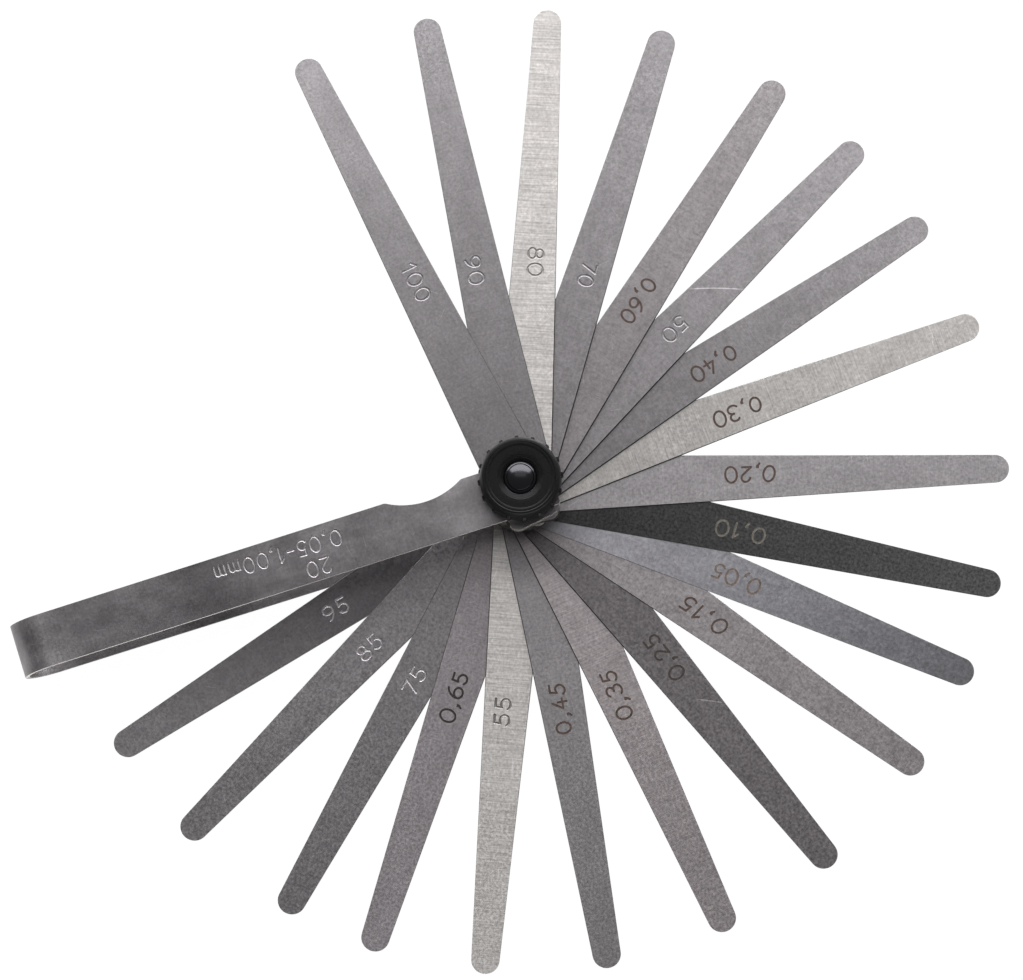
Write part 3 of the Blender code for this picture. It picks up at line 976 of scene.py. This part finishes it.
def make_bolt(skin):
    """The pivot bolt: low round head, square neck, plain shank, and a thread below its domed end."""
    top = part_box("pivot_bolt")[1].z
    sphere = (SHANK_RADIUS**2 + BOLT_DOME**2) / (2 * BOLT_DOME)
    widest = math.degrees(math.asin(SHANK_RADIUS / sphere)) - 0.4
    dome = arc((0, top - sphere), sphere, 90, 90 - widest, 20)
    thread_high = top - BOLT_DOME - 0.15 * MM
    profile = [
        (0, top),
        *dome[1:],
        (SHANK_RADIUS, top - BOLT_DOME - 0.05 * MM),
        *[(SHANK_RADIUS, z) for z in heights(BOLT_THREAD_LOW, thread_high)[::-1]],
        (SHANK_RADIUS, HEAD_HEIGHT),
        (HEAD_RADIUS - 0.1 * MM, HEAD_HEIGHT),
        (HEAD_RADIUS, HEAD_HEIGHT - 0.1 * MM),
        *arc((HEAD_RADIUS - HEAD_EDGE, HEAD_EDGE), HEAD_EDGE, 0, -90, 6),
        (0.9 * MM, 0),
        (0.75 * MM, 0.12 * MM),
        (0, 0.12 * MM),
    ]
    bolt = revolved("bolt_turned", profile, 96, thread(BOLT_THREAD_LOW, thread_high))
    neck_outline = rounded_corners(square(NECK_SIDE), [NECK_CORNER_RADIUS] * 4, 3)
    neck_sunk = HEAD_HEIGHT / 2
    neck = plate("neck", [neck_outline], NECK_HEIGHT + neck_sunk)
    neck.data.transform(Matrix.Translation((0, 0, HEAD_HEIGHT + (NECK_HEIGHT - neck_sunk) / 2)))
    step = bolt.modifiers.new("neck", "BOOLEAN")
    step.operation = "UNION"
    step.solver = "EXACT"
    step.object = neck
    apply_modifiers(bolt)
    bpy.data.objects.remove(neck)
    return finish(smooth(bolt, 40), "pivot_bolt", skin)


def make_washer():
    """The flat washer, with its punched edges rounded over."""
    low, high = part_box("washer")
    thick = high.z - low.z
    soft = 0.1 * MM
    profile = [
        (WASHER_INNER + soft, thick),
        *arc((WASHER_OUTER - soft, thick - soft), soft, 90, 0, 4),
        *arc((WASHER_OUTER - soft, soft), soft, 0, -90, 4),
        (WASHER_INNER + soft, 0),
        (WASHER_INNER, soft),
        (WASHER_INNER, thick - soft),
    ]
    washer = revolved("washer_ring", profile, 96)
    washer.matrix_world = Matrix.Translation((0, 0, low.z))
    skin = steel("washer_steel", DUSK, 9, 0.4, 0.4)
    return finish(smooth(washer, 40), "washer", skin)


def make_insert(skin):
    """The threaded insert in the nut, whose rim carries on the curve of the bolt's dome."""
    low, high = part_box("nut_insert")
    tall = high.z - low.z
    soft = 0.12 * MM
    bore = INSERT_INNER + THREAD_DEPTH
    thread_low = 0.1 * MM
    thread_top = tall - 0.5 * MM
    profile = [
        (INSERT_INNER, tall + 0.16 * MM),
        *[(radius * MM, tall + rise * MM) for radius, rise in INSERT_LIP],
        (3.38 * MM, tall),
        (INSERT_OUTER, tall),
        (INSERT_OUTER, 0),
        (bore + soft, 0),
        *[(bore, z) for z in heights(thread_low, thread_top)],
        (INSERT_INNER, thread_top + 0.1 * MM),
    ]
    insert = revolved("insert_sleeve", profile, 96, thread(thread_low, thread_top))
    insert.matrix_world = Matrix.Translation((0, 0, low.z))
    return finish(smooth(insert, 40), "nut_insert", skin)


def make_nut():
    """The moulded thumb nut: dished face with a raised rim, round shoulder, skirt with narrow grip ribs."""
    low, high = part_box("thumb_nut")
    tall = high.z - low.z
    seat_top = 4.25 * MM
    rise = tall - NUT_SHOULDER_HEIGHT
    lean = NUT_BASE_RADIUS - NUT_RIM_RADIUS
    shoulder = []
    for angle in range(10, 91, 8):
        t = math.radians(angle)
        shoulder.append((NUT_RIM_RADIUS + lean * math.sin(t), NUT_SHOULDER_HEIGHT + rise * math.cos(t)))
    dish = []
    for radius, level in NUT_DISH:
        dish.append((radius * MM, level * MM))
        dish.append(((radius + NUT_RING_WIDTH) * MM, (level - NUT_RING_DEPTH) * MM))
    profile = [
        (NUT_EYE_RADIUS, 4.3 * MM),
        (3.34 * MM, 4.4 * MM),
        (3.42 * MM, 4.5 * MM),
        (3.55 * MM, 4.6 * MM),
        *dish,
        (6.1 * MM, tall - 0.15 * MM),
        (6.35 * MM, tall - 0.13 * MM),
        (6.5 * MM, tall - 0.16 * MM),
        (6.62 * MM, tall - 0.03 * MM),
        (6.7 * MM, tall),
        *shoulder,
        *[(NUT_BASE_RADIUS, z * MM) for z in (2.0, 1.5, 1.0, 0.5, 0.25)],
        (NUT_BASE_RADIUS - 0.25 * MM, 0),
        (NUT_SEAT_RADIUS, 0),
        (NUT_SEAT_RADIUS, seat_top),
        (NUT_EYE_RADIUS, seat_top),
    ]

    def ribbed(radius, height, angle):
        """The radius with the grip ribs added."""
        if radius < NUT_RIM_RADIUS or height < 0.2 * MM:
            return radius
        off = (angle - RIB_FIRST_ANGLE) % (360 / RIB_COUNT)
        off = min(off, 360 / RIB_COUNT - off)
        share = max(0.0, min(1.0, (RIB_HALF_ANGLE - off) / RIB_FLANK_ANGLE))
        fall = max(0.0, height - RIB_HEIGHT) * RIB_END_SLOPE
        return max(radius, radius + share * (NUT_BASE_RADIUS + RIB_STAND - fall - radius))

    nut = revolved("nut_body", profile, 576, ribbed)
    nut.matrix_world = Matrix.Translation((0, 0, low.z))
    skin = plastic("black_plastic", (0.004, 0.004, 0.0044), 5)
    return finish(smooth(nut, 28), "thumb_nut", skin)


# ---------------------------------------------------------------- camera, light and floor

# The camera looks nearly straight down. Its angles are in degrees, its lens and sensor in millimetres.
CAMERA_PLACE = (-15.10 * MM, -88.61 * MM, 653.12 * MM)
CAMERA_TURN = -8.39
CAMERA_TILT = 7.875
CAMERA_ROLL = -9.41
CAMERA_LENS = 120.75
CAMERA_SENSOR = 36
SURROUND_STRENGTH = 0.15
FLOOR_GLOW = 0.99
FLOOR_HALF_SIDE = 3
# Each soft box: its name, its place, the point it faces, its two sizes in metres, and its power in watts.
SOFT_BOXES = (
    ("far_box", (0.186, 0.57, 0.38), (0, 0, 0.3), (1.5, 0.72), 20.0),
    ("high_box", (0.11, 0.34, 0.85), (0, 0, 0), (0.9, 0.5), 1.0),
    ("near_box", (0.0, -0.9, 0.14), (0, 0, 0), (1.4, 0.26), 6.0),
)


def make_camera():
    """The camera, at the photo's angle."""
    data = bpy.data.cameras.new("camera")
    data.lens = CAMERA_LENS
    data.sensor_width = CAMERA_SENSOR
    data.clip_start = 0.01
    camera = bpy.data.objects.new("camera", data)
    SCENE.collection.objects.link(camera)
    camera.matrix_world = (
        Matrix.Translation(CAMERA_PLACE)
        @ Matrix.Rotation(math.radians(CAMERA_TURN), 4, "Z")
        @ Matrix.Rotation(math.radians(CAMERA_TILT), 4, "X")
        @ Matrix.Rotation(math.radians(CAMERA_ROLL), 4, "Z")
    )
    SCENE.camera = camera


def soft_box(name, place, aim, size, energy):
    """A rectangular area light at one place, aimed at another."""
    data = bpy.data.lights.new(name, "AREA")
    data.shape = "RECTANGLE"
    data.size, data.size_y = size
    data.energy = energy
    light = bpy.data.objects.new(name, data)
    SCENE.collection.objects.link(light)
    light.location = place
    light.rotation_euler = (Vector(aim) - Vector(place)).to_track_quat("-Z", "Y").to_euler()


def make_studio():
    """A pale floor, a dim surround, and soft boxes: a big far one, one overhead, and a low near one."""
    SCENE.view_settings.view_transform = "Standard"
    world = bpy.data.worlds.new("surround")
    world.use_nodes = True
    world.node_tree.nodes["Background"].inputs["Color"].default_value = (1, 1, 1, 1)
    world.node_tree.nodes["Background"].inputs["Strength"].default_value = SURROUND_STRENGTH
    SCENE.world = world
    for box in SOFT_BOXES:
        soft_box(*box)
    work = bmesh.new()
    bmesh.ops.create_grid(work, x_segments=1, y_segments=1, size=FLOOR_HALF_SIDE)
    mesh = bpy.data.meshes.new("floor")
    work.to_mesh(mesh)
    work.free()
    floor = bpy.data.objects.new("floor", mesh)
    paint = plain("floor_paint", (0.03, 0.03, 0.03), 0.9)
    glow = paint.node_tree.nodes["Principled BSDF"]
    glow.inputs["Emission Color"].default_value = (1, 1, 1, 1)
    glow.inputs["Emission Strength"].default_value = FLOOR_GLOW
    glow.inputs["Specular IOR Level"].default_value = 0.0
    floor.data.materials.append(paint)
    SCENE.collection.objects.link(floor)


make_camera()
make_studio()
make_holder()
# The near-black edge material is painted shade: it darkens every blade's edges to stand for the shadow in the
# gaps between overlapping blades.
edge_shade = plain("edge_painted_shade", (0.03, 0.027, 0.026), 0.5, 0.6)
tails = plain("tail_edge", (0.8, 0.77, 0.74), 0.35, 1.0)
for number in BLADES:
    make_blade(number, edge_shade, tails)
blackened = plain("blackened_steel", (0.045, 0.045, 0.05), 0.22, 0.9)
make_bolt(blackened)
make_washer()
make_insert(blackened)
make_nut()
